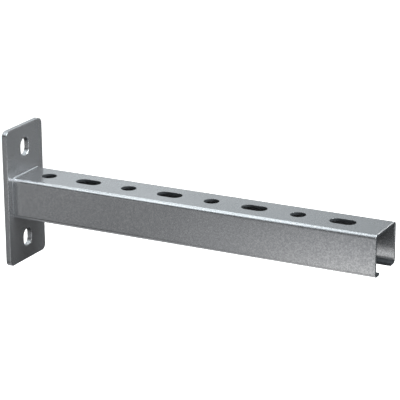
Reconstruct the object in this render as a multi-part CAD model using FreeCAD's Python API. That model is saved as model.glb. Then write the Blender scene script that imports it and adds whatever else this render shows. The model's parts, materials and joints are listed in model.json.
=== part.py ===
"""Cantilever wall bracket: a slotted channel arm welded square onto a flat wall plate.

The bracket stands in its own frame, in millimetres. The origin is the centre of the plate's
back face, which lies on the wall. +X runs out of the wall along the arm and +Z is up.
"""
import FreeCAD, Part
import math
import os

# Wall plate
PLATE_WIDTH = 50.0
PLATE_HEIGHT = 107.0
PLATE_THICKNESS = 4.0
PLATE_CORNER_RADIUS = 4.5
PLATE_EDGE_ROUNDING = 0.4

# Upright slots for the wall anchors
WALL_SLOT_WIDTH = 11.0
WALL_SLOT_LENGTH = 14.0
WALL_SLOT_TO_PLATE_END = 17.3
WALL_SLOT_EDGE_BREAK = 0.3

# Channel arm, folded from one strip, with its open side down
REACH_FROM_WALL = 300.0
CHANNEL_WIDTH = 37.0
CHANNEL_HEIGHT = 31.5
STRIP_THICKNESS = 2.0
INNER_BEND_RADIUS = 1.0
LIP_REACH = 8.0
ARM_ABOVE_PLATE_CENTRE = 0.0

# Holes punched in the arm's upper web, a round one and a long one by turns
HOLE_PITCH = 34.6
FIRST_HOLE_FROM_PLATE = 21.2
ROUND_HOLE_DIAMETER = 11.0
LONG_HOLE_WIDTH = 11.0
LONG_HOLE_LENGTH = 19.5
LEAST_WEB_AT_ARM_END = 6.0
HOLE_EDGE_BREAK = 0.25

# Fillet weld round the arm's root, over the web and down both sides
WELD_LEG = 1.0
WELD_SWELL = 0.12
WELD_END_ABOVE_LOWER_BEND = 0.5

OUTWARD = FreeCAD.Vector(1.0, 0.0, 0.0)
SIDEWAYS = FreeCAD.Vector(0.0, 1.0, 0.0)
UP = FreeCAD.Vector(0.0, 0.0, 1.0)
RIGHT_ANGLE = 90.0
SAME_PLACE = 1.0e-6
NODE_FOLDER = "parts"

outer_bend_radius = INNER_BEND_RADIUS + STRIP_THICKNESS
arm_top = ARM_ABOVE_PLATE_CENTRE + CHANNEL_HEIGHT / 2
arm_bottom = arm_top - CHANNEL_HEIGHT
arm_half_width = CHANNEL_WIDTH / 2
lip_tip = arm_half_width - LIP_REACH


def turned(vector, degrees):
    """Return the vector turned about the arm's length, as seen looking out of the wall."""
    return FreeCAD.Rotation(OUTWARD, degrees).multVec(vector)


def arc_about(centre, spoke, degrees):
    """Return the arc that the spoke's tip draws when it turns about the centre."""
    middle = centre + turned(spoke, degrees / 2)
    return Part.Arc(centre + spoke, middle, centre + turned(spoke, degrees)).toShape()


def oblong(centre, along, across, length, width):
    """Return a flat face with half-round ends, its length running in the direction along."""
    end = centre + along * ((length - width) / 2)
    start = centre - along * ((length - width) / 2)
    side = across * (width / 2)
    edges = [
        Part.Arc(end - side, end + along * (width / 2), end + side).toShape(),
        Part.Arc(start + side, start - along * (width / 2), start - side).toShape(),
    ]
    if length - width > SAME_PLACE:
        edges.insert(1, Part.makeLine(end + side, start + side))
        edges.append(Part.makeLine(start - side, end - side))
    return Part.Face(Part.Wire(edges))


def edges_at(shape, direction, distance):
    """Return the shape's edges that lie wholly in the plane at this distance in the direction."""
    found = []
    for edge in shape.Edges:
        middle = edge.valueAt((edge.FirstParameter + edge.LastParameter) / 2)
        places = [middle] + [vertex.Point for vertex in edge.Vertexes]
        if all(abs(place.dot(direction) - distance) < SAME_PLACE for place in places):
            found.append(edge)
    return found


def edges_round(edges, face):
    """Return those edges whose middle lies on the rim of the flat face."""
    found = []
    for edge in edges:
        middle = edge.valueAt((edge.FirstParameter + edge.LastParameter) / 2)
        if face.OuterWire.distToShape(Part.Vertex(middle))[0] < SAME_PLACE:
            found.append(edge)
    return found


def pierce(shape, mouth, inward, depth, edge_break):
    """Cut a hole inward from its mouth and break the sharp rim on the mouth's side."""
    cut = shape.cut(mouth.extrude(inward * depth))
    flat = edges_at(cut, inward, mouth.CenterOfMass.dot(inward))
    return cut.makeChamfer(edge_break, edges_round(flat, mouth))


def plate_blank():
    """Return the plate with its four round corners and the rolled edge of its front outline."""
    corner = FreeCAD.Vector(0, -PLATE_WIDTH / 2, -PLATE_HEIGHT / 2)
    blank = Part.makeBox(PLATE_THICKNESS, PLATE_WIDTH, PLATE_HEIGHT, corner)
    through = [edge for edge in blank.Edges if edge.BoundBox.XLength > PLATE_THICKNESS / 2]
    blank = blank.makeFillet(PLATE_CORNER_RADIUS, through)
    return blank.makeFillet(PLATE_EDGE_ROUNDING, edges_at(blank, OUTWARD, PLATE_THICKNESS))


def wall_slot_heights():
    """Return the heights of both wall slots, set in alike from the plate's two ends."""
    height = PLATE_HEIGHT / 2 - WALL_SLOT_TO_PLATE_END
    return (-height, height)


def build_wall_plate():
    """Return the wall plate with an upright slot above and below the arm."""
    plate = plate_blank()
    for height in wall_slot_heights():
        centre = OUTWARD * PLATE_THICKNESS + UP * height
        mouth = oblong(centre, UP, SIDEWAYS, WALL_SLOT_LENGTH, WALL_SLOT_WIDTH)
        plate = pierce(plate, mouth, -OUTWARD, PLATE_THICKNESS, WALL_SLOT_EDGE_BREAK)
    return plate


def bend_centres():
    """Return the four bend centres at the plate: near low, near high, far high, far low."""
    side = arm_half_width - outer_bend_radius
    low = arm_bottom + outer_bend_radius
    high = arm_top - outer_bend_radius
    corners = [(-side, low), (-side, high), (side, high), (side, low)]
    return [OUTWARD * PLATE_THICKNESS + SIDEWAYS * y + UP * z for y, z in corners]


def section_line(depth):
    """Return the edges from lip tip to lip tip at this depth under the strip's outer skin."""
    spoke = UP * (depth - outer_bend_radius)
    tip = OUTWARD * PLATE_THICKNESS - SIDEWAYS * lip_tip + UP * (arm_bottom + depth)
    edges = []
    last = tip
    for centre in bend_centres():
        edges.append(Part.makeLine(last, centre + spoke))
        edges.append(arc_about(centre, spoke, -RIGHT_ANGLE))
        spoke = turned(spoke, -RIGHT_ANGLE)
        last = centre + spoke
    edges.append(Part.makeLine(last, tip + SIDEWAYS * (2 * lip_tip)))
    return edges


def channel_section():
    """Return the strip's folded section as a face: lips, bends, sides and web."""
    outside = section_line(0.0)
    inside = section_line(STRIP_THICKNESS)
    near_tip = Part.makeLine(outside[0].firstVertex().Point, inside[0].firstVertex().Point)
    far_tip = Part.makeLine(outside[-1].lastVertex().Point, inside[-1].lastVertex().Point)
    return Part.Face(Part.Wire(outside + [far_tip] + inside[::-1] + [near_tip]))


def hole_count():
    """Return how many holes fit between the plate and the arm's end."""
    last_centre = REACH_FROM_WALL - LEAST_WEB_AT_ARM_END - LONG_HOLE_LENGTH / 2
    first_centre = PLATE_THICKNESS + FIRST_HOLE_FROM_PLATE
    return math.floor((last_centre - first_centre) / HOLE_PITCH) + 1


def hole_mouth(index):
    """Return the mouth of one hole of the row in the web's upper skin: even round, odd long."""
    distance = PLATE_THICKNESS + FIRST_HOLE_FROM_PLATE + index * HOLE_PITCH
    centre = OUTWARD * distance + UP * arm_top
    if index % 2:
        return oblong(centre, OUTWARD, SIDEWAYS, LONG_HOLE_LENGTH, LONG_HOLE_WIDTH)
    return oblong(centre, OUTWARD, SIDEWAYS, ROUND_HOLE_DIAMETER, ROUND_HOLE_DIAMETER)


def build_channel_arm():
    """Return the channel arm, cut off square at both ends, with its row of punched holes."""
    arm = channel_section().extrude(OUTWARD * (REACH_FROM_WALL - PLATE_THICKNESS))
    for index in range(hole_count()):
        arm = pierce(arm, hole_mouth(index), -UP, STRIP_THICKNESS, HOLE_EDGE_BREAK)
    return arm


def weld_profile(root, away):
    """Return the bead's cut face at the root point: one leg on the arm, one on the plate."""
    on_arm = root + OUTWARD * WELD_LEG
    on_plate = root + away * WELD_LEG
    swell = (OUTWARD + away).normalize() * WELD_SWELL
    crown = (on_arm + on_plate) / 2 + swell
    face_line = Part.Arc(on_arm, crown, on_plate).toShape()
    return Part.Face(Part.Wire([Part.makeLine(root, on_arm), face_line, Part.makeLine(on_plate, root)]))


def build_weld_bead():
    """Return the bead: it climbs one side, turns over the web and runs down the other side."""
    near_low, near_high, far_high, far_low = bend_centres()
    rise = UP * (WELD_END_ABOVE_LOWER_BEND + WELD_LEG)
    near_root = near_low - SIDEWAYS * outer_bend_radius + rise
    far_root = far_low + SIDEWAYS * outer_bend_radius + rise
    near_shoulder = near_high - SIDEWAYS * outer_bend_radius
    far_shoulder = far_high + UP * outer_bend_radius
    near_side = weld_profile(near_root, -SIDEWAYS)
    web = weld_profile(near_high + UP * outer_bend_radius, UP)
    far_side = weld_profile(far_root, SIDEWAYS)
    pieces = [
        near_side.revolve(near_root, OUTWARD, RIGHT_ANGLE),
        near_side.extrude(near_shoulder - near_root),
        weld_profile(near_shoulder, -SIDEWAYS).revolve(near_high, OUTWARD, -RIGHT_ANGLE),
        web.extrude(far_high - near_high),
        weld_profile(far_shoulder, UP).revolve(far_high, OUTWARD, -RIGHT_ANGLE),
        far_side.extrude(far_high - far_low - rise),
        far_side.revolve(far_root, OUTWARD, -RIGHT_ANGLE),
    ]
    return pieces[0].multiFuse(pieces[1:]).removeSplitter()


def marked_by(piece, weld):
    """Return the piece with the weld's footprint drawn on it, so its free faces end at the toe."""
    _, results = piece.Solids[0].generalFuse([weld])
    return results[0][0]


def main():
    """Build each piece of the bracket and write it under its own name."""
    os.makedirs(NODE_FOLDER, exist_ok=True)
    weld_bead = build_weld_bead().Solids[0]
    nodes = {
        "wall_plate": marked_by(build_wall_plate(), weld_bead),
        "channel_arm": marked_by(build_channel_arm(), weld_bead),
        "weld_bead": weld_bead,
    }
    for name, solid in nodes.items():
        solid.exportStep(os.path.join(NODE_FOLDER, name + ".step"))
        print(name, "volume", round(solid.Volume, 1), "faces", len(solid.Faces), "valid", solid.isValid())


main()
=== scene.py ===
"""Looks of a cantilever wall bracket: a zinc-coated channel arm welded onto a flat wall plate."""

import json
import logging
import math
from dataclasses import dataclass
from enum import Enum

import bmesh
import bpy
from mathutils import Matrix, Vector

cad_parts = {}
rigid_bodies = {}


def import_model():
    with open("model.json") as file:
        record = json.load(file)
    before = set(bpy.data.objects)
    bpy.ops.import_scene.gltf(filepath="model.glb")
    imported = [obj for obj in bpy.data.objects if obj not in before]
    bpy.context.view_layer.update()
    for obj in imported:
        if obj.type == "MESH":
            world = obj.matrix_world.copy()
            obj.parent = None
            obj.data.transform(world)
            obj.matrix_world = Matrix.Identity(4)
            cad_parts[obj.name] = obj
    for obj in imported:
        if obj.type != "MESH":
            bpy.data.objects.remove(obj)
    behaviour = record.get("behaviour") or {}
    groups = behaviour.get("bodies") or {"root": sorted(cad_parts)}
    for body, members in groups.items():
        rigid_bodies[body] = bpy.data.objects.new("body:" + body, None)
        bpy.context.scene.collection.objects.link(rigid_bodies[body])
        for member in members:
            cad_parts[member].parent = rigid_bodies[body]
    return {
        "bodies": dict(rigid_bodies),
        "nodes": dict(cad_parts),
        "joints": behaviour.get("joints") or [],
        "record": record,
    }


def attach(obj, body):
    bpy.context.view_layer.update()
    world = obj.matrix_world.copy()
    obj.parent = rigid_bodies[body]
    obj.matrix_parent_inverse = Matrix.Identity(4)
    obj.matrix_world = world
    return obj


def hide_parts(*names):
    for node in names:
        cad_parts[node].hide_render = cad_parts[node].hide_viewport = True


# Short names for the types in the hints
Tree = bpy.types.NodeTree
Outputs = bpy.types.NodeOutputs
Feed = bpy.types.Node | bpy.types.NodeSocket
Point = tuple[float, float, float]

MM = 0.001
BODY = "root"
LOG = logging.getLogger("wall_bracket")

# Kinds of node that are used again and again
MATH = "ShaderNodeMath"
VECTOR_MATH = "ShaderNodeVectorMath"
MAP_RANGE = "ShaderNodeMapRange"
SPLIT = "ShaderNodeSeparateXYZ"
GEOMETRY = "ShaderNodeNewGeometry"
BEVEL = "ShaderNodeBevel"
BUMP = "ShaderNodeBump"
MIX = "ShaderNodeMix"

# Nearly all values of a noise lie between these two
NOISE_LOW = 0.3
NOISE_HIGH = 0.7

# How finely the rounded edges are sampled
BEVEL_SETTINGS = {"samples": 4}


class Piece(Enum):
    """The three pieces of steel, by the names of their CAD nodes."""

    PLATE = "wall_plate"
    ARM = "channel_arm"
    WELD = "weld_bead"


def linear_colour(hex_code: str) -> tuple[float, float, float, float]:
    """Turn an sRGB hex colour into the linear colour that shaders read.

    Args:
        hex_code: Six hex digits, red first.

    Returns:
        Red, green, blue and a full alpha, in linear light.
    """
    channels = [int(hex_code[i:i + 2], 16) / 255 for i in (0, 2, 4)]
    # The sRGB curve is straight near black and a power above that
    red, green, blue = (c / 12.92 if c <= 0.04045 else ((c + 0.055) / 1.055) ** 2.4 for c in channels)
    return (red, green, blue, 1.0)


def add_node(tree: Tree, kind: str, settings: dict | str | None = None, *values: object,
             **links: object) -> bpy.types.Node:
    """Add a node to a tree, with its settings and what feeds its inputs.

    What feeds an input is an output socket, a node, which stands for its first output in use, or
    a plain value.

    Args:
        tree: The node tree that gets the node.
        kind: The node's type name.
        settings: Properties of the node itself by name, or only the name of its operation.
        *values: What feeds its inputs, by place.
        **links: What feeds its inputs, by name, with underscores for spaces.

    Returns:
        The new node.
    """
    node = tree.nodes.new(kind)
    if isinstance(settings, str):
        settings = {"operation": settings}
    for name, value in (settings or {}).items():
        setattr(node, name, value)
    feeds = list(zip(node.inputs, values))
    for name, value in links.items():
        plain_name = name.replace("_", " ")
        feeds.append((next(s for s in node.inputs if s.enabled and s.name == plain_name), value))
    for socket, value in feeds:
        if isinstance(value, bpy.types.Node):
            value = next(output for output in value.outputs if output.enabled)
        if isinstance(value, bpy.types.NodeSocket):
            tree.links.new(value, socket)
        else:
            socket.default_value = value
    return node


@dataclass(frozen=True)
class Spot:
    """The node outputs that say which spot of the bracket a material colours.

    The axes give its place in metres, facing is the plain face's own normal, and unrubbed is 0
    along the rubbed edges and 1 elsewhere.
    """

    axes: Outputs
    facing: Outputs
    unrubbed: Feed


@dataclass(frozen=True)
class PaintedShade:
    """Mild steel with next to no zinc on it.

    It mirrors hardly anything beside the pale coat.
    """

    colour: str = "2E3134"
    roughness: float = 0.6
    metallic: float = 0.2

    def mask(self, tree: Tree, spot: Spot) -> Feed:
        """Return 1 where shade is painted and 0 on the coat."""
        raise NotImplementedError

    @staticmethod
    def within(tree: Tree, first: Feed, *others: Feed) -> Feed:
        """Return how far a spot lies within all of these limits at once.

        Args:
            tree: The material's node tree.
            first: One limit, as a mask from 0 to 1.
            *others: The other limits.

        Returns:
            The mask of what they share.
        """
        for other in others:
            first = add_node(tree, MATH, "MULTIPLY", first, other)
        return first


@dataclass(frozen=True)
class CutAndLipShade(PaintedShade):
    """Painted shade where the strip was punched, sawn or slit: on the holes' walls and the sawn end.

    Shade is also painted inside the lips, which lie in the shade of the web. A normal's share along
    an axis tells a hole's wall from the web's flat, the sawn end from the sides, and the inside of
    a lip from its underside.
    """

    hole_half_width_mm: float = 5.8
    last_hole_end_mm: float = 288.0
    web_bottom_mm: float = 13.7
    wall_normal: float = 0.72
    flat_normal: float = 0.95
    sawn_end_mm: float = 299.8
    sawn_normal: float = 0.9
    lip_shade_from_mm: float = -11.9
    lip_top_mm: float = -13.2
    inside_half_width_mm: float = 16.6
    underside_normal: float = -0.5

    def mask(self, tree: Tree, spot: Spot) -> Feed:
        """Return where shade is painted.

        Args:
            tree: The material's node tree.
            spot: The outputs that say where and how the steel faces.

        Returns:
            1 on the holes' walls and broken rims, inside the lips and on the sawn end.
        """
        across = add_node(tree, MATH, "ABSOLUTE", spot.axes["Y"])
        shaded = self._hole_wall_shade(tree, spot, across)
        for area in (self._sawn_end_shade(tree, spot), self._lip_shade(tree, spot, across)):
            shaded = add_node(tree, MATH, "MAXIMUM", shaded, area)
        return shaded

    def _hole_wall_shade(self, tree: Tree, spot: Spot, across: Feed) -> Feed:
        """Return the painted shade on the walls and the broken rims of the web's holes.

        Args:
            tree: The material's node tree.
            spot: The outputs that say where and how the steel faces.
            across: The distance from the arm's middle plane.

        Returns:
            The mask of these walls.
        """
        level = add_node(tree, MATH, "ABSOLUTE", spot.facing["Z"])
        wall = add_node(tree, MAP_RANGE, Value=level, From_Min=self.wall_normal,
                        From_Max=self.flat_normal, To_Min=1.0, To_Max=0.0)
        before_end = add_node(tree, MATH, "LESS_THAN", spot.axes["X"], self.last_hole_end_mm * MM)
        in_web = add_node(tree, MATH, "GREATER_THAN", spot.axes["Z"], self.web_bottom_mm * MM)
        in_row = add_node(tree, MATH, "LESS_THAN", across, self.hole_half_width_mm * MM)
        return self.within(tree, wall, before_end, in_web, in_row)

    def _sawn_end_shade(self, tree: Tree, spot: Spot) -> Feed:
        """Return the painted shade on the arm's sawn end, but not on its rim, where the edges are rubbed and
        a highlight is painted.

        Args:
            tree: The material's node tree.
            spot: The outputs that say where and how the steel faces.

        Returns:
            The mask of the sawn end.
        """
        at_end = add_node(tree, MATH, "GREATER_THAN", spot.axes["X"], self.sawn_end_mm * MM)
        endward = add_node(tree, MATH, "GREATER_THAN", spot.facing["X"], self.sawn_normal)
        return self.within(tree, at_end, endward, spot.unrubbed)

    def _lip_shade(self, tree: Tree, spot: Spot, across: Feed) -> Feed:
        """Return the painted shade inside the lips and on their slit edges.

        Args:
            tree: The material's node tree.
            spot: The outputs that say where and how the steel faces.
            across: The distance from the arm's middle plane.

        Returns:
            The mask of the lips, which fades in over the last millimetre above them.
        """
        low = add_node(tree, MAP_RANGE, Value=spot.axes["Z"], From_Min=self.lip_shade_from_mm * MM,
                       From_Max=self.lip_top_mm * MM)
        inside = add_node(tree, MATH, "LESS_THAN", across, self.inside_half_width_mm * MM)
        not_under = add_node(tree, MATH, "GREATER_THAN", spot.facing["Z"], self.underside_normal)
        return self.within(tree, low, inside, not_under)


@dataclass(frozen=True)
class SlotRoofShade(PaintedShade):
    """Painted shade on the walls of the plate's slots that face down."""

    half_width_mm: float = 5.9
    half_length_mm: float = 7.4
    height_mm: float = 36.2
    upright_normal: float = 0.05
    roof_normal: float = -0.5

    def mask(self, tree: Tree, spot: Spot) -> Feed:
        """Return where shade is painted.

        Args:
            tree: The material's node tree.
            spot: The outputs that say where and how the steel faces.

        Returns:
            1 under the slots' upper ends, right to the rim.
        """
        roof = add_node(tree, MAP_RANGE, Value=spot.facing["Z"], From_Min=self.upright_normal,
                        From_Max=self.roof_normal)
        across = add_node(tree, MATH, "ABSOLUTE", spot.axes["Y"])
        in_width = add_node(tree, MATH, "LESS_THAN", across, self.half_width_mm * MM)
        height = add_node(tree, MATH, "ABSOLUTE", spot.axes["Z"])
        from_middle = add_node(tree, MATH, "SUBTRACT", height, self.height_mm * MM)
        along = add_node(tree, MATH, "ABSOLUTE", from_middle)
        in_length = add_node(tree, MATH, "LESS_THAN", along, self.half_length_mm * MM)
        return self.within(tree, roof, in_width, in_length)


@dataclass(frozen=True)
class ZincFinish:
    """A dull hot-dip zinc coat on steel: grey, grainy, satin, and rubbed brighter along its edges.

    The lighter edges are partly rubbed and partly a painted highlight. Toward the arm's free end
    light and shade are painted into the tone.

    The coat is metal under a thin grey oxide skin. To the eye part of the light is scattered and
    not mirrored, and the grain breaks up the reflections without hiding them. Its crystals are a
    few tenths of a millimetre across, less than one point of the render, so both grains are drawn
    about three times as coarse to show. The bath leaves clouds a few centimetres wide.
    """

    name: str
    dull_colour: str = "8B8E91"
    colour: str = "B3B5B8"
    light_colour: str = "E2E3E4"
    rubbed_highlight_colour: str = "E4E6E8"
    metallic: float = 0.85
    roughness: float = 0.22
    rough_spread: float = 0.10
    rubbed_rough: float = -0.08
    grain_mm: float = 1.3
    fine_grain_mm: float = 0.45
    cloud_mm: float = 38.0
    cloud_share: float = 0.05
    relief_mm: float = 0.035
    relief_strength: float = 0.8
    speckle: float = 0.178
    speckle_at_plate: float = 0.48
    toward_end_from_mm: float = 170.0
    arm_end_mm: float = 300.0
    half_height_mm: float = 15.75
    # Painted light on the lower half toward the free end, and a share of painted shade on the web there
    painted_light_below: float = 0.38
    painted_light_share_on_top: float = -0.4
    rough_toward_end: float = 0.015
    edge_radius_mm: float = 0.40
    edge_wear_and_highlight: float = 0.8
    untouched_from: float = 0.995
    rubbed_below: float = 0.80
    unbroken_from: float = 0.6
    wear_in_gaps: float = 0.75
    # The painted highlight along the web's sawn end rim: its reach from the end and its depth
    end_rim_highlight_mm: float = 0.0
    end_rim_highlight_depth_mm: float = 0.35
    # Painted shade laid over the coat, where a finish has it
    painted_shade: PaintedShade | None = None

    def build(self) -> bpy.types.Material:
        """Build the finish as a node material on Object coordinates.

        Returns:
            The new material.
        """
        material = bpy.data.materials.new(self.name)
        material.use_nodes = True
        tree = material.node_tree
        tree.nodes.clear()
        place = add_node(tree, "ShaderNodeTexCoord").outputs["Object"]
        axes = add_node(tree, SPLIT, Vector=place).outputs
        grain = self._noise(tree, place, self.grain_mm, detail=1.0)
        fine = self._noise(tree, place, self.fine_grain_mm, detail=2.0)
        cloud = self._noise(tree, place, self.cloud_mm, detail=4.0)
        wear_and_highlight = self._edge_wear_and_highlight(tree, grain)
        # A painted highlight along the web's end rim
        if self.end_rim_highlight_mm:
            wear_and_highlight = add_node(tree, MATH, "MAXIMUM", wear_and_highlight, self._end_rim_highlight(tree, axes))
        # The third value is painted light and shade toward the arm's free end
        along, speckle, painted_light = self._coarse_end_and_painted_light(tree, axes)
        looks = {
            "Base_Color": self._colour(tree, self._tone(tree, grain, cloud, speckle, painted_light), wear_and_highlight),
            "Roughness": self._roughness(tree, fine, cloud, wear_and_highlight, along),
            "Metallic": self.metallic,
        }
        # Paint shade into the coat in the recesses and on the faces that lie in shade
        if self.painted_shade:
            looks = self._paint_shade(tree, axes, wear_and_highlight, looks)
        surface = add_node(tree, "ShaderNodeBsdfPrincipled", Normal=self._relief(tree, grain, fine), **looks)
        add_node(tree, "ShaderNodeOutputMaterial", Surface=surface)
        return material

    @staticmethod
    def _noise(tree: Tree, place: Feed, size_mm: float, detail: float) -> Feed:
        """Return a noise whose blotches are about this many millimetres across."""
        return add_node(tree, "ShaderNodeTexNoise", Vector=place, Scale=1 / (size_mm * MM), Detail=detail)

    def _edge_wear_and_highlight(self, tree: Tree, grain: Feed) -> Feed:
        """Return how far an edge is rubbed and painted with a highlight.

        The rounded normal turns away from the flat one there. Both are compared by their dot product,
        which is 1 where they are alike.

        Args:
            tree: The material's node tree.
            grain: The grain that breaks up the rubbed line.

        Returns:
            0 on open surface, up to the full rubbed and painted amount along an edge.
        """
        flat = add_node(tree, GEOMETRY).outputs["Normal"]
        rounded = add_node(tree, BEVEL, BEVEL_SETTINGS, Radius=self.edge_radius_mm * MM)
        alike = add_node(tree, VECTOR_MATH, "DOT_PRODUCT", flat, rounded)
        amount = add_node(tree, MAP_RANGE, Value=alike, From_Min=self.untouched_from,
                          From_Max=self.rubbed_below, To_Min=0.0, To_Max=self.edge_wear_and_highlight)
        broken = add_node(tree, MAP_RANGE, Value=grain, From_Min=NOISE_LOW, From_Max=self.unbroken_from,
                          To_Min=self.wear_in_gaps, To_Max=1.0)
        return add_node(tree, MATH, "MULTIPLY", amount, broken)

    def _end_rim_highlight(self, tree: Tree, axes: Outputs) -> Feed:
        """Return the painted highlight along the web's end rim.

        Args:
            tree: The material's node tree.
            axes: The spot's place along the axes.

        Returns:
            The painted highlight's full amount on the rim, 0 elsewhere.
        """
        at_end = add_node(tree, MATH, "GREATER_THAN", axes["X"], (self.arm_end_mm - self.end_rim_highlight_mm) * MM)
        rim_bottom = (self.half_height_mm - self.end_rim_highlight_depth_mm) * MM
        on_web = add_node(tree, MATH, "GREATER_THAN", axes["Z"], rim_bottom)
        rim = add_node(tree, MATH, "MULTIPLY", at_end, on_web)
        return add_node(tree, MATH, "MULTIPLY", rim, self.edge_wear_and_highlight)

    def _coarse_end_and_painted_light(self, tree: Tree, axes: Outputs) -> tuple[Feed, Feed, Feed]:
        """Return how coarse the coat is, and the light and shade painted into it, by place.

        Toward the arm's free end the grain grows coarse, and there the lower half is painted lighter
        and the web darker, as painted light and shade.

        Args:
            tree: The material's node tree.
            axes: The spot's place along the axes.

        Returns:
            How far toward the free end a spot lies, the strength of the speckle, and the painted light
            and shade that are added to the tone.
        """
        along = add_node(tree, MAP_RANGE, {"interpolation_type": "SMOOTHSTEP"}, Value=axes["X"],
                         From_Min=self.toward_end_from_mm * MM, From_Max=self.arm_end_mm * MM)
        speckle = add_node(tree, MAP_RANGE, Value=along, To_Min=self.speckle * self.speckle_at_plate,
                           To_Max=self.speckle)
        depth = add_node(tree, MAP_RANGE, Value=axes["Z"], From_Min=self.half_height_mm * MM,
                         From_Max=-self.half_height_mm * MM, To_Min=self.painted_light_share_on_top * self.painted_light_below,
                         To_Max=self.painted_light_below)
        return along, speckle, add_node(tree, MATH, "MULTIPLY", along, depth)

    def _tone(self, tree: Tree, grain: Feed, cloud: Feed, speckle: Feed, painted_light: Feed) -> Feed:
        """Return how light the coat is: speckled, clouded, and with painted light toward the free end.

        Args:
            tree: The material's node tree.
            grain: The coarse grain.
            cloud: The wide, soft blotches.
            speckle: The strength of the speckle.
            painted_light: The painted light and shade added toward the free end.

        Returns:
            0 for the dull colour, 0.5 for the coat's own and 1 for the light one.
        """
        speck = add_node(tree, MAP_RANGE, Value=grain, From_Min=NOISE_LOW, From_Max=NOISE_HIGH, To_Min=-1.0,
                         To_Max=1.0)
        patch = add_node(tree, MAP_RANGE, Value=cloud, From_Min=NOISE_LOW, From_Max=NOISE_HIGH,
                         To_Min=0.5 - self.cloud_share, To_Max=0.5 + self.cloud_share)
        tone = add_node(tree, MATH, "MULTIPLY_ADD", speck, speckle, patch)
        return add_node(tree, MATH, {"operation": "ADD", "use_clamp": True}, tone, painted_light)

    def _colour(self, tree: Tree, tone: Feed, wear_and_highlight: Feed) -> Feed:
        """Return the coat's colour by its tone, and the lighter rubbed colour, partly a painted highlight,
        along the edges.

        Args:
            tree: The material's node tree.
            tone: How light the coat is.
            wear_and_highlight: How far it is rubbed and painted with a highlight.

        Returns:
            The colour.
        """
        ramp = add_node(tree, "ShaderNodeValToRGB", Fac=tone)
        elements = ramp.color_ramp.elements
        elements[0].color = linear_colour(self.dull_colour)
        elements.new(0.5).color = linear_colour(self.colour)
        elements[2].color = linear_colour(self.light_colour)
        rubbed = linear_colour(self.rubbed_highlight_colour)
        return add_node(tree, MIX, {"data_type": "RGBA"}, Factor=wear_and_highlight, A=ramp, B=rubbed)

    def _roughness(self, tree: Tree, fine: Feed, cloud: Feed, wear_and_highlight: Feed, along: Feed) -> Feed:
        """Return the roughness: it wanders with the cloud and the grain and drops where rubbed.

        Args:
            tree: The material's node tree.
            fine: The fine grain.
            cloud: The wide, soft blotches.
            wear_and_highlight: How far the coat is rubbed and painted with a highlight.
            along: How far toward the free end it lies, where it is a little rougher.

        Returns:
            The roughness.
        """
        both = add_node(tree, MATH, "ADD", fine, cloud)
        wide = add_node(tree, MAP_RANGE, Value=both, From_Min=2 * NOISE_LOW, From_Max=2 * NOISE_HIGH,
                        To_Min=self.roughness - self.rough_spread / 2,
                        To_Max=self.roughness + self.rough_spread / 2)
        rubbed = add_node(tree, MATH, "MULTIPLY_ADD", wear_and_highlight, self.rubbed_rough, wide)
        return add_node(tree, MATH, "MULTIPLY_ADD", along, self.rough_toward_end, rubbed)

    def _paint_shade(self, tree: Tree, axes: Outputs, wear_and_highlight: Feed, coat: dict[str, object]) -> dict[str, object]:
        """Paint shade into the coat in the recesses and on the faces that lie in shade.

        Args:
            tree: The material's node tree.
            axes: The spot's place along the axes.
            wear_and_highlight: How far the coat is rubbed and painted with a highlight.
            coat: The coat's colour, roughness and metallic, by input name.

        Returns:
            The same three, with the painted shade's look in its place.
        """
        plain_normal = add_node(tree, GEOMETRY).outputs["True Normal"]
        facing = add_node(tree, SPLIT, Vector=plain_normal).outputs
        rubbed = add_node(tree, MATH, "DIVIDE", wear_and_highlight, self.edge_wear_and_highlight)
        unrubbed = add_node(tree, MATH, "SUBTRACT", 1.0, rubbed)
        shade_mask = self.painted_shade.mask(tree, Spot(axes, facing, unrubbed))
        # The painted shade's own colour, roughness and metallic
        steel = {
            "Base_Color": linear_colour(self.painted_shade.colour),
            "Roughness": self.painted_shade.roughness,
            "Metallic": self.painted_shade.metallic,
        }
        mixed = {}
        for name, shaded in steel.items():
            data = {"data_type": "RGBA" if name == "Base_Color" else "FLOAT"}
            mixed[name] = add_node(tree, MIX, data, Factor=shade_mask, A=coat[name], B=shaded)
        return mixed

    def _relief(self, tree: Tree, grain: Feed, fine: Feed) -> Feed:
        """Return the normal: the coat's two grains in relief over softly rounded edges.

        Args:
            tree: The material's node tree.
            grain: The coarse grain.
            fine: The fine grain, half as deep.

        Returns:
            The normal.
        """
        normal = add_node(tree, BEVEL, BEVEL_SETTINGS, Radius=self.edge_radius_mm * MM)
        for height, depth_mm in ((grain, self.relief_mm), (fine, self.relief_mm / 2)):
            normal = add_node(tree, BUMP, Height=height, Distance=depth_mm * MM,
                              Strength=self.relief_strength, Normal=normal)
        return normal


@dataclass
class CadPiece:
    """A piece of steel that keeps its shape from the CAD and gets its coat here."""

    piece: Piece
    finish: ZincFinish

    def dress(self, frame: dict) -> bpy.types.Object:
        """Give the piece its coat.

        Args:
            frame: The loaded frame, with the CAD's pieces by node name.

        Returns:
            The coated piece.
        """
        steel = frame["nodes"][self.piece.value]
        steel.material_slots[0].material = self.finish.build()
        return steel


@dataclass
class WallPlate(CadPiece):
    """The upright plate: blanked from thick sheet, so its outline is rolled over and rubbed."""

    piece: Piece = Piece.PLATE
    # Hot-dip zinc on thick sheet, to the eye a plain mid grey with a faint even grain,
    # with painted shade under the slots' upper ends and lighter rubbed edges that are partly a painted
    # highlight
    finish: ZincFinish = ZincFinish("hot_dip_zinc_plate", painted_shade=SlotRoofShade())


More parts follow.
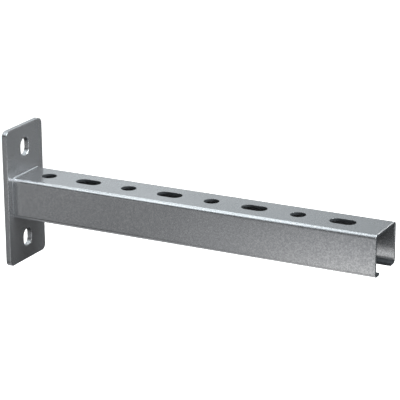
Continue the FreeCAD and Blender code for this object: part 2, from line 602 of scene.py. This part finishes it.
@dataclass
class ChannelArm(CadPiece):
    """The folded channel arm: thinner strip, so its coat is finer than the plate's."""

    piece: Piece = Piece.ARM
    # Hot-dip zinc on thin strip, to the eye satin and even, with bright lines along its bends
    # Painted shade in the holes, inside the lips and on the sawn end, and a painted highlight along the
    # web's end rim
    finish: ZincFinish = ZincFinish("hot_dip_zinc_strip", grain_mm=1.2, edge_radius_mm=0.6,
                                    end_rim_highlight_mm=0.7, painted_shade=CutAndLipShade())


@dataclass
class WeldBead:
    """The fillet weld round the arm's root, in the small even ripples of a welder's steps.

    The thin bead climbs one side of the arm, crosses the web and runs down the other side. Its leg
    is the full one over the web and a share of it down the sides.
    """

    arm_width_mm: float = 37.0
    arm_height_mm: float = 31.5
    bend_radius_mm: float = 3.0
    plate_thickness_mm: float = 4.0
    low_end_mm: float = -12.25
    leg_mm: float = 0.62
    leg_share_on_sides: float = 0.35
    hollow: float = 0.173
    ripple_pitch_mm: float = 1.5
    ripple_depth: float = 0.16
    ripple_lag: float = 0.35
    ripple_drift: float = 0.7
    bend_steps: int = 12
    rows_along: int = 420
    rows_across: int = 9
    joined_below_mm: float = 0.001
    crease_deg: float = 50.0
    seed: float = 3.0
    # Hot-dip zinc on weld metal, to the eye duller and greyer, as it reacts through to the surface
    finish: ZincFinish = ZincFinish("hot_dip_zinc_on_weld", dull_colour="94979A", colour="A5A8AB",
                                    light_colour="BCBFC2", grain_mm=0.8, roughness=0.50, metallic=0.4,
                                    edge_wear_and_highlight=0.0)

    def build(self) -> bpy.types.Object:
        """Build the bead by Geometry Nodes along the arm's root and give it its coat.

        Returns:
            The bead, which stands for the CAD node of the same name.
        """
        bead = bpy.data.objects.new("rippled_weld_bead", self._path())
        bpy.context.scene.collection.objects.link(bead)
        modifier = bead.modifiers.new("bead", "NODES")
        tree = self._tree()
        modifier.node_group = tree
        inputs = {"Leg": self.leg_mm * MM, "Ripple Pitch": self.ripple_pitch_mm * MM,
                  "Ripple Depth": self.ripple_depth, "Seed": self.seed, "Finish": self.finish.build()}
        for item in tree.interface.items_tree:
            if item.item_type == "SOCKET" and item.in_out == "INPUT" and item.name in inputs:
                modifier[item.identifier] = inputs[item.name]
        graph = bpy.context.evaluated_depsgraph_get()
        mesh = bpy.data.meshes.new_from_object(bead.evaluated_get(graph), depsgraph=graph)
        bead.modifiers.remove(modifier)
        bead.data = mesh
        mesh.materials.pop(index=0)
        self._face_outward(mesh)
        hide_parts(Piece.WELD.value)
        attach(bead, BODY)
        return bead

    def _path(self) -> bpy.types.Mesh:
        """Return the line of the bead's root, up one side, over the web and down the other.

        Returns:
            A mesh of edges, end to end.
        """
        half = self.arm_width_mm / 2
        radius = self.bend_radius_mm
        bend_height = self.arm_height_mm / 2 - radius
        points = [(-half, self.low_end_mm)]
        for middle, start_deg in ((radius - half, 180), (half - radius, 90)):
            for step in range(self.bend_steps + 1):
                angle = math.radians(start_deg - 90 * step / self.bend_steps)
                points.append((middle + radius * math.cos(angle), bend_height + radius * math.sin(angle)))
        points.append((half, self.low_end_mm))
        mesh = bpy.data.meshes.new("weld_root_line")
        vertices = [(self.plate_thickness_mm * MM, y * MM, z * MM) for y, z in points]
        mesh.from_pydata(vertices, [(i, i + 1) for i in range(len(vertices) - 1)], [])
        return mesh

    def _tree(self) -> bpy.types.GeometryNodeTree:
        """Return the node tree that turns the root line into the rippled bead.

        Each row of a flat grid is wrapped round the root line, and its edges meet at the root.

        Returns:
            The tree, with named inputs for the sizes, the seed and the finish.
        """
        tree = bpy.data.node_groups.new("rippled_fillet", "GeometryNodeTree")
        sockets = {"Geometry": "NodeSocketGeometry", "Leg": "NodeSocketFloat",
                   "Ripple Pitch": "NodeSocketFloat", "Ripple Depth": "NodeSocketFloat",
                   "Seed": "NodeSocketFloat", "Finish": "NodeSocketMaterial"}
        for name, kind in sockets.items():
            tree.interface.new_socket(name, in_out="INPUT", socket_type=kind)
        tree.interface.new_socket("Geometry", in_out="OUTPUT", socket_type="NodeSocketGeometry")
        given = add_node(tree, "NodeGroupInput").outputs
        curve = add_node(tree, "GeometryNodeMeshToCurve", Mesh=given["Geometry"])
        length = add_node(tree, "GeometryNodeCurveLength", Curve=curve)
        grid = add_node(tree, "GeometryNodeMeshGrid", Size_X=1.0, Size_Y=1.0, Vertices_X=self.rows_along,
                        Vertices_Y=self.rows_across + 2)
        place = add_node(tree, "GeometryNodeInputPosition")
        split = add_node(tree, SPLIT, Vector=place).outputs
        share = add_node(tree, MATH, "ADD", split["X"], 0.5)
        along = add_node(tree, MATH, "MULTIPLY", share, length)
        angle, on_face = self._angle(tree, split["Y"])
        reach = self._reach(tree, given, along, length, angle)
        radius = add_node(tree, MATH, "MULTIPLY", reach, on_face)
        root = add_node(tree, "GeometryNodeSampleCurve", {"mode": "FACTOR"}, Curves=curve, Factor=share)
        moved = self._position(tree, root.outputs, angle, radius)
        bead = add_node(tree, "GeometryNodeSetPosition", Geometry=grid, Position=moved)
        joined = add_node(tree, "GeometryNodeMergeByDistance", Geometry=bead,
                          Distance=self.joined_below_mm * MM)
        smooth = add_node(tree, "GeometryNodeSetShadeSmooth", Geometry=joined)
        real = add_node(tree, "GeometryNodeRealizeInstances", Geometry=smooth)
        coated = add_node(tree, "GeometryNodeSetMaterial", Geometry=real, Material=given["Finish"])
        add_node(tree, "NodeGroupOutput", Geometry=coated)
        return tree

    def _angle(self, tree: Tree, across: Feed) -> tuple[Feed, Feed]:
        """Return where round the bead's face each row of the grid lies.

        The first and the last row lie at the root, and the rows between them on the face.

        Args:
            tree: The node tree.
            across: The grid's place across the bead, from -0.5 to 0.5.

        Returns:
            The angle in radians, 0 on the arm and a right angle on the plate, and a switch, 1 on
            the face and 0 at the root.
        """
        share = add_node(tree, MATH, "ADD", across, 0.5)
        row = add_node(tree, MATH, "MULTIPLY", share, self.rows_across + 1.0)
        face_row = add_node(tree, MATH, "SUBTRACT", row, 1.0)
        part = add_node(tree, MATH, "DIVIDE", face_row, self.rows_across - 1.0)
        clamped = add_node(tree, "ShaderNodeClamp", Value=part)
        angle = add_node(tree, MATH, "MULTIPLY", clamped, math.pi / 2)
        after_root = add_node(tree, MATH, "GREATER_THAN", row, 0.5)
        before_root = add_node(tree, MATH, "LESS_THAN", row, self.rows_across + 0.5)
        return angle, add_node(tree, MATH, "MULTIPLY", after_root, before_root)

    def _reach(self, tree: Tree, given: Outputs, along: Feed, length: Feed, angle: Feed) -> Feed:
        """Return how far the bead's face stands from its root: profile, ripples and round ends.

        Args:
            tree: The node tree.
            given: The tree's own inputs.
            along: The distance along the root line.
            length: The root line's length.
            angle: The angle round the bead's face.

        Returns:
            The distance from the root.
        """
        turned = add_node(tree, MATH, "MULTIPLY", angle, 2.0)
        middle = add_node(tree, MATH, "SINE", turned)
        squared = add_node(tree, MATH, "MULTIPLY", middle, middle)
        profile = add_node(tree, MATH, "MULTIPLY_ADD", squared, -self.hollow, 1.0)
        shaped = add_node(tree, MATH, "MULTIPLY", profile, self._ripple(tree, given, along, middle))
        ended = add_node(tree, MATH, "MULTIPLY", shaped, self._round_end(tree, given, along, length))
        return add_node(tree, MATH, "MULTIPLY", ended, given["Leg"])

    def _ripple(self, tree: Tree, given: Outputs, along: Feed, middle: Feed) -> Feed:
        """Return the ripples: dips that lag behind in the middle of the face and drift a little.

        Args:
            tree: The node tree.
            given: The tree's own inputs.
            along: The distance along the root line.
            middle: 1 in the middle of the face, 0 at its two toes.

        Returns:
            The share of the profile that is left.
        """
        pitches = add_node(tree, MATH, "DIVIDE", along, given["Ripple Pitch"])
        turns = add_node(tree, MATH, "MULTIPLY_ADD", middle, -self.ripple_lag, pitches)
        seeded = add_node(tree, MATH, "ADD", turns, given["Seed"])
        drift = add_node(tree, "ShaderNodeTexNoise", {"noise_dimensions": "1D"}, W=seeded,
                         Scale=self.ripple_drift, Detail=1.0)
        drifted = add_node(tree, MATH, "ADD", turns, drift)
        phase = add_node(tree, MATH, "MULTIPLY", drifted, math.tau)
        swing = add_node(tree, MATH, "SINE", phase)
        wave = add_node(tree, MATH, "MULTIPLY_ADD", swing, 0.5, 0.5)
        depth = add_node(tree, MATH, "MULTIPLY", wave, given["Ripple Depth"])
        dip = add_node(tree, MATH, "MULTIPLY", depth, middle)
        return add_node(tree, MATH, "SUBTRACT", 1.0, dip)

    @staticmethod
    def _round_end(tree: Tree, given: Outputs, along: Feed, length: Feed) -> Feed:
        """Return how the bead closes over its last leg's length, as a quarter circle.

        Args:
            tree: The node tree.
            given: The tree's own inputs.
            along: The distance along the root line.
            length: The root line's length.

        Returns:
            1 along the bead, down to 0 at both ends.
        """
        to_go = add_node(tree, MATH, "SUBTRACT", length, along)
        near_end = add_node(tree, MATH, "MINIMUM", along, to_go)
        legs = add_node(tree, MATH, "DIVIDE", near_end, given["Leg"])
        gone = add_node(tree, MATH, "SUBTRACT", 1.0, legs)
        gone = add_node(tree, MATH, "MAXIMUM", gone, 0.0)
        squared = add_node(tree, MATH, "MULTIPLY", gone, gone)
        left = add_node(tree, MATH, "SUBTRACT", 1.0, squared)
        left = add_node(tree, MATH, "MAXIMUM", left, 0.0)
        return add_node(tree, MATH, "SQRT", left)

    def _position(self, tree: Tree, root: Outputs, angle: Feed, radius: Feed) -> Feed:
        """Return where each grid point lies: its root point, then out along the arm and the plate.

        Args:
            tree: The node tree.
            root: The position and the tangent of the root line beside the point.
            angle: The angle round the bead's face.
            radius: The distance from the root over the web; the sides have a share of it.

        Returns:
            The position of each point.
        """
        height = add_node(tree, SPLIT, Vector=root["Position"]).outputs["Z"]
        top = self.arm_height_mm / 2
        share = add_node(tree, MAP_RANGE, Value=height, From_Min=(top - 2 * self.bend_radius_mm) * MM,
                         From_Max=top * MM, To_Min=self.leg_share_on_sides, To_Max=1.0)
        radius = add_node(tree, MATH, "MULTIPLY", radius, share)
        cosine = add_node(tree, MATH, "COSINE", angle)
        sine = add_node(tree, MATH, "SINE", angle)
        on_arm = add_node(tree, MATH, "MULTIPLY", cosine, radius)
        on_plate = add_node(tree, MATH, "MULTIPLY", sine, radius)
        out = add_node(tree, "ShaderNodeCombineXYZ", X=on_arm)
        away = add_node(tree, VECTOR_MATH, "CROSS_PRODUCT", (1.0, 0.0, 0.0), root["Tangent"])
        spread = add_node(tree, VECTOR_MATH, "SCALE", Vector=away, Scale=on_plate)
        offset = add_node(tree, VECTOR_MATH, "ADD", out, spread)
        return add_node(tree, VECTOR_MATH, "ADD", root["Position"], offset)

    def _face_outward(self, mesh: bpy.types.Mesh) -> None:
        """Turn all faces of the closed bead outward and keep its toes sharp.

        Args:
            mesh: The bead's mesh.
        """
        work = bmesh.new()
        work.from_mesh(mesh)
        bmesh.ops.recalc_face_normals(work, faces=work.faces)
        if work.calc_volume(signed=True) < 0:
            bmesh.ops.reverse_faces(work, faces=work.faces)
        work.to_mesh(mesh)
        work.free()
        mesh.set_sharp_from_angle(angle=math.radians(self.crease_deg))


@dataclass(frozen=True)
class PhotoCamera:
    """The camera at the photograph's viewing angle, far off with a long lens."""

    azimuth_deg: float = 27.543
    elevation_deg: float = 17.948
    roll_deg: float = -0.309
    distance_m: float = 1.3976
    focal_mm: float = 171.636
    sensor_mm: float = 36.0
    aim_m: Point = (0.15129, 0.00543, 0.01329)
    clip_factor: float = 100.0

    def place(self) -> bpy.types.Object:
        """Put the camera in the scene and make it the scene's camera.

        Returns:
            The camera's object.
        """
        azimuth, elevation, roll = map(math.radians, (self.azimuth_deg, self.elevation_deg, self.roll_deg))
        level = math.cos(elevation)
        back = Vector((math.sin(azimuth) * level, -math.cos(azimuth) * level, math.sin(elevation)))
        right = Vector((math.cos(azimuth), math.sin(azimuth), 0.0))
        up = back.cross(right)
        rolled_right = right * math.cos(roll) + up * math.sin(roll)
        rolled_up = back.cross(rolled_right)
        data = bpy.data.cameras.new("photo_camera")
        data.sensor_width = self.sensor_mm
        data.lens = self.focal_mm
        data.clip_start = self.distance_m / self.clip_factor
        data.clip_end = self.distance_m * self.clip_factor
        camera = bpy.data.objects.new("photo_camera", data)
        turn = Matrix((rolled_right, rolled_up, back)).transposed().to_4x4()
        camera.matrix_world = Matrix.Translation(Vector(self.aim_m) + back * self.distance_m) @ turn
        bpy.context.scene.collection.objects.link(camera)
        bpy.context.scene.camera = camera
        return camera


class Tint(Enum):
    """The colours of the studio's lamps: plain white, or slightly cool like a high window."""

    WHITE = "FFFFFF"
    COOL = "F7FDFF"


class Target(Enum):
    """What a lamp is aimed at, as a place in metres."""

    ARM_MIDDLE = (0.15, 0.0, 0.0)
    ARM_END = (0.28, 0.0, -0.01)


@dataclass(frozen=True)
class Softbox:
    """A rectangular lamp behind diffusing cloth, with its place and size in metres."""

    name: str
    place: Point
    width: float
    height: float
    watts: float
    tint: Tint = Tint.COOL
    target: Target = Target.ARM_MIDDLE

    def light(self) -> bpy.types.Object:
        """Put the lamp in the scene.

        Returns:
            The lamp's object, which the camera doesn't see.
        """
        data = bpy.data.lights.new(self.name, "AREA")
        data.shape = "RECTANGLE"
        data.size = self.width
        data.size_y = self.height
        data.energy = self.watts
        data.color = linear_colour(self.tint.value)[:3]
        lamp = bpy.data.objects.new(self.name, data)
        lamp.visible_camera = False
        lamp.location = self.place
        lamp.rotation_mode = "QUATERNION"
        toward = Vector(self.target.value) - Vector(self.place)
        lamp.rotation_quaternion = toward.to_track_quat("-Z", "Y")
        bpy.context.scene.collection.objects.link(lamp)
        return lamp


@dataclass(frozen=True)
class LampArch:
    """Soft lamps on an arch across the arm, behind the plate, which the web and bends mirror.

    Each lamp has its name, its angle up from the level far side, in degrees, and its watts.
    """

    along: float = -0.51
    radius: float = 1.347
    width: float = 0.62
    height: float = 0.55
    lamps: tuple[tuple[str, float, float], ...] = (
        ("arch_behind", 48, 1.1),
        ("arch_high_behind", 66, 2.4),
        ("arch_high_front", 102, 1.9),
        ("arch_front", 120, 2.0),
        ("arch_low_front", 138, 0.8),
    )

    def softboxes(self) -> list[Softbox]:
        """Return the arch's lamps, each at its angle.

        Returns:
            The lamps, not yet in the scene.
        """
        boxes = []
        for name, degrees, watts in self.lamps:
            angle = math.radians(degrees)
            place = (self.along, self.radius * math.cos(angle), self.radius * math.sin(angle))
            boxes.append(Softbox(name, place, self.width, self.height, watts))
        return boxes


@dataclass(frozen=True)
class MattWhitePaint:
    """Matt white wall paint, rolled on.

    It gives the eye an even white without gloss. Its glow stands for the light of the room on it.
    """

    colour: str = "FBFBFB"
    roughness: float = 0.9
    glow: float = 1.05

    def build(self) -> bpy.types.Material:
        """Build the paint.

        Returns:
            The new material.
        """
        material = bpy.data.materials.new("matt_white_paint")
        material.use_nodes = True
        tree = material.node_tree
        tree.nodes.clear()
        white = linear_colour(self.colour)
        paint = add_node(tree, "ShaderNodeBsdfPrincipled", Base_Color=white, Roughness=self.roughness,
                         Emission_Color=white, Emission_Strength=self.glow)
        add_node(tree, "ShaderNodeOutputMaterial", Surface=paint)
        return material


@dataclass(frozen=True)
class Studio:
    """A plain pale floor and backdrop under soft light, in metres, with the bracket hung free.

    Each step of the sky has the rise of a direction, from -1 straight down to 1 straight up, and
    how bright the sky is there.
    """

    floor_drop: float = 0.45
    floor_size: float = 9.0
    paint: MattWhitePaint = MattWhitePaint()
    sky: tuple[tuple[float, float], ...] = ((-1.0, 0.86), (-0.5, 0.0), (-0.25, 0.0), (0.0, 0.45), (0.2, 0.0))
    arch: LampArch = LampArch()
    lamps: tuple[Softbox, ...] = (
        Softbox("overhead", (0.15, 0.0, 1.5), 1.2, 1.2, 7.9),
        Softbox("high_front", (0.35, -1.0, 1.2), 1.0, 1.0, 1.2),
        Softbox("high_beyond_the_end", (1.3, 0.0, 1.0), 0.8, 0.8, 30.0),
        Softbox("high_behind_the_plate", (-1.0, 0.0, 1.1), 0.8, 0.8, 1.2),
        Softbox("high_right_front", (1.0, -0.8, 1.0), 1.5, 1.5, 19.5, Tint.WHITE),
        Softbox("low_left_front", (-0.5, -1.25, -0.35), 0.6, 0.4, 0.1, Tint.WHITE),
        Softbox("low_far_left", (-0.75, -1.1, -0.38), 0.5, 0.4, 0.18, Tint.WHITE),
        Softbox("left_behind", (-0.5, 1.2, 0.45), 0.7, 0.5, 0.7),
        Softbox("far_left_behind", (-0.75, 1.15, 0.62), 0.5, 0.4, 0.12),
        Softbox("low_behind", (0.75, 1.2, -0.33), 0.6, 0.4, 0.12, Tint.WHITE),
        Softbox("close_behind_the_end", (0.44, 0.42, 0.18), 0.12, 0.12, 0.19, Tint.WHITE, Target.ARM_END),
        Softbox("low_beyond_the_end", (1.2, -0.63, -0.44), 0.5, 0.4, 1.3, Tint.WHITE),
        Softbox("low_right_front", (0.2, -0.5, -0.2), 0.3, 0.3, 0.04, Tint.WHITE, Target.ARM_END),
        Softbox("low_before_the_end", (0.1, -0.6, -0.33), 0.5, 0.3, 0.25, Tint.WHITE, Target.ARM_END),
        Softbox("low_before_the_middle", (0.05, -0.8, -0.3), 0.3, 0.25, 0.03, Tint.WHITE, Target.ARM_END),
    )

    def build(self) -> None:
        """Make the floor, the backdrop, the soft sky, the lamps and the view's colours."""
        self._room()
        self._sky()
        for lamp in (*self.arch.softboxes(), *self.lamps):
            lamp.light()
        bpy.context.scene.view_settings.view_transform = "Standard"

    def _room(self) -> None:
        """Make the floor and, far off, the pale backdrop that closes the view behind and above."""
        half = self.floor_size / 2
        low = -self.floor_drop
        around = [(-half, -half), (half, -half), (half, half), (-half, half)]
        sides = len(around)
        corners = [(x, y, z) for z in (low, low + half) for x, y in around]
        walls = [(i, (i + 1) % sides, (i + 1) % sides + sides, i + sides) for i in range(sides)]
        ceiling = tuple(range(sides, 2 * sides))
        self._pale_surface("pale_floor", corners[:sides], [tuple(range(sides))])
        backdrop = self._pale_surface("pale_backdrop", corners, [*walls, ceiling])
        backdrop.visible_shadow = False

    def _pale_surface(self, name: str, corners: list[Point],
                      faces: list[tuple[int, ...]]) -> bpy.types.Object:
        """Make a surface in the studio's paint, which the metal doesn't mirror.

        Args:
            name: The object's name.
            corners: Its corners.
            faces: Its faces, by corner.

        Returns:
            The surface.
        """
        mesh = bpy.data.meshes.new(name)
        mesh.from_pydata(corners, [], faces)
        mesh.materials.append(self.paint.build())
        surface = bpy.data.objects.new(name, mesh)
        bpy.context.scene.collection.objects.link(surface)
        surface.visible_glossy = False
        surface.visible_diffuse = False
        return surface

    def _sky(self) -> None:
        """Make a soft sky that is bright along the horizon and straight below, and dark above."""
        world = bpy.data.worlds.new("soft_sky")
        bpy.context.scene.world = world
        world.use_nodes = True
        tree = world.node_tree
        tree.nodes.clear()
        direction = add_node(tree, "ShaderNodeTexCoord").outputs["Generated"]
        height = add_node(tree, SPLIT, Vector=direction).outputs["Z"]
        place = add_node(tree, MAP_RANGE, Value=height, From_Min=-1.0, From_Max=1.0)
        ramp = add_node(tree, "ShaderNodeValToRGB", Fac=place)
        brightest = max(level for _, level in self.sky)
        elements = ramp.color_ramp.elements
        elements.remove(elements[1])
        for index, (rise, level) in enumerate(self.sky):
            position = (rise + 1) / 2
            element = elements.new(position) if index else elements[0]
            element.position = position
            element.color = (level / brightest, level / brightest, level / brightest, 1.0)
        sky = add_node(tree, "ShaderNodeBackground", Color=ramp, Strength=brightest)
        add_node(tree, "ShaderNodeOutputWorld", Surface=sky)


def main() -> None:
    """Load the bracket, light it, place the camera and dress its pieces in order."""
    logging.basicConfig(level=logging.INFO, format="%(name)s: %(message)s")
    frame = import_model()
    bpy.context.view_layer.update()
    PhotoCamera().place()
    Studio().build()
    for piece in (WallPlate().dress(frame), ChannelArm().dress(frame), WeldBead().build()):
        LOG.info("%s dressed in %s", piece.name, piece.material_slots[0].material.name)


if __name__ == "__main__":
    main()
